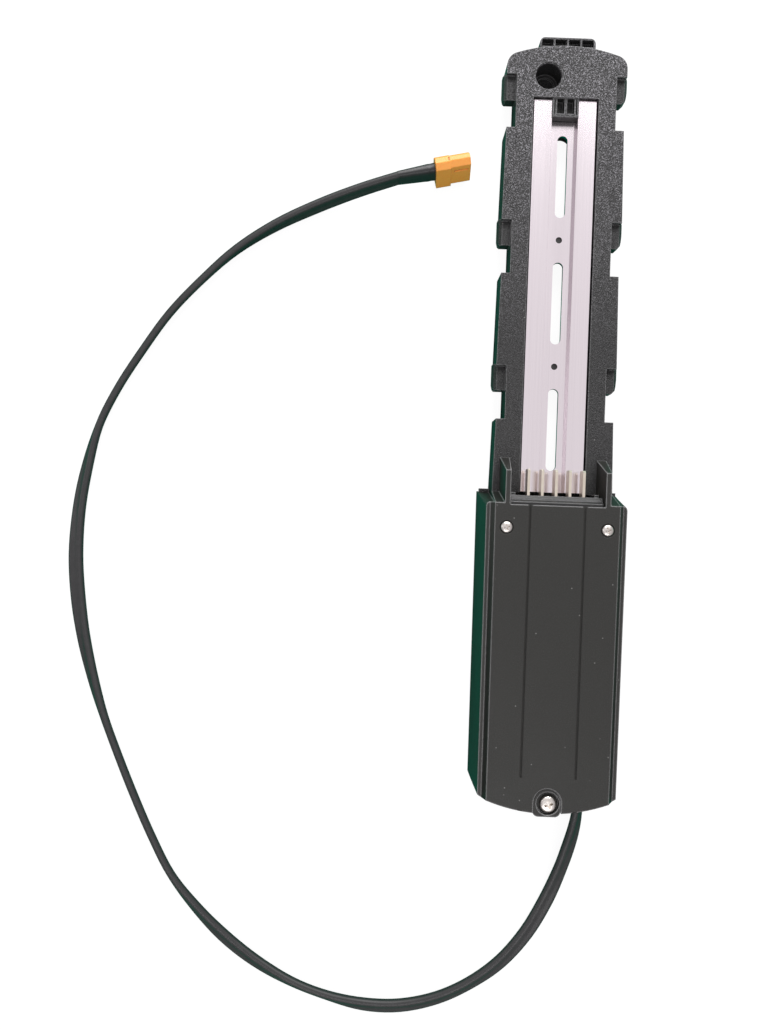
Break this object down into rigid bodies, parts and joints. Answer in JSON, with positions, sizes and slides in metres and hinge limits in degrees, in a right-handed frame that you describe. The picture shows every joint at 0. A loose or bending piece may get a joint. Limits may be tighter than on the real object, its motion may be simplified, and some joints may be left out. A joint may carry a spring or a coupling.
{
  "type": "battery mounting cradle",
  "caption": "Frame-tube mounting cradle for a slide-on battery: aluminium rail in a hooked plastic plate, blade contacts between guide horns, long wiring box, flat lead with an orange plug.",
  "frame": {"origin": "centre of the mouldings' underside, under the middle of the rail, without the free lead and its plug", "axes": "+Y along the cradle towards the lock end, +Z away from the frame tube, +X across"},
  "size_m": [0.2984, 0.5287, 0.0332],
  "materials": {
    "plate_plastic": "moulded black glass-filled nylon, fine grain",
    "box_plastic": "moulded black plastic, fine grain",
    "rail_aluminium": "extruded, clear satin",
    "screw_steel": "bright nickel-plated steel",
    "blade_tin": "tinned copper blade",
    "red_sheath": "red lead sheath",
    "black_rubber": "soft black sheath",
    "black_nylon": "black nylon tie",
    "shrink_black": "shrunk sleeve, satin",
    "plug_orange": "amber-orange nylon",
    "socket_brass": "gold-plated brass"
  },
  "bodies": {
    "root": {"cradle": "plate_plastic", "rail": "rail_aluminium", "rail_screws": "screw_steel", "controller_cover": "box_plastic", "cover_screws": "screw_steel", "end_screw": "screw_steel", "terminal_block": "box_plastic", "terminal_block_screws": "screw_steel", "contact_blade_1": "blade_tin", "contact_blade_2": "blade_tin", "contact_blade_3": "blade_tin", "contact_blade_4": "blade_tin", "contact_blade_5": "blade_tin", "lead_positive": "red_sheath", "lead_negative": "black_rubber", "cable_grommet": "black_rubber", "cable_tie": "black_nylon", "power_cable": "black_rubber", "shrink_sleeve": "shrink_black", "plug_housing": "plug_orange", "plug_sockets": "socket_brass"}
  },
  "joints": []
}
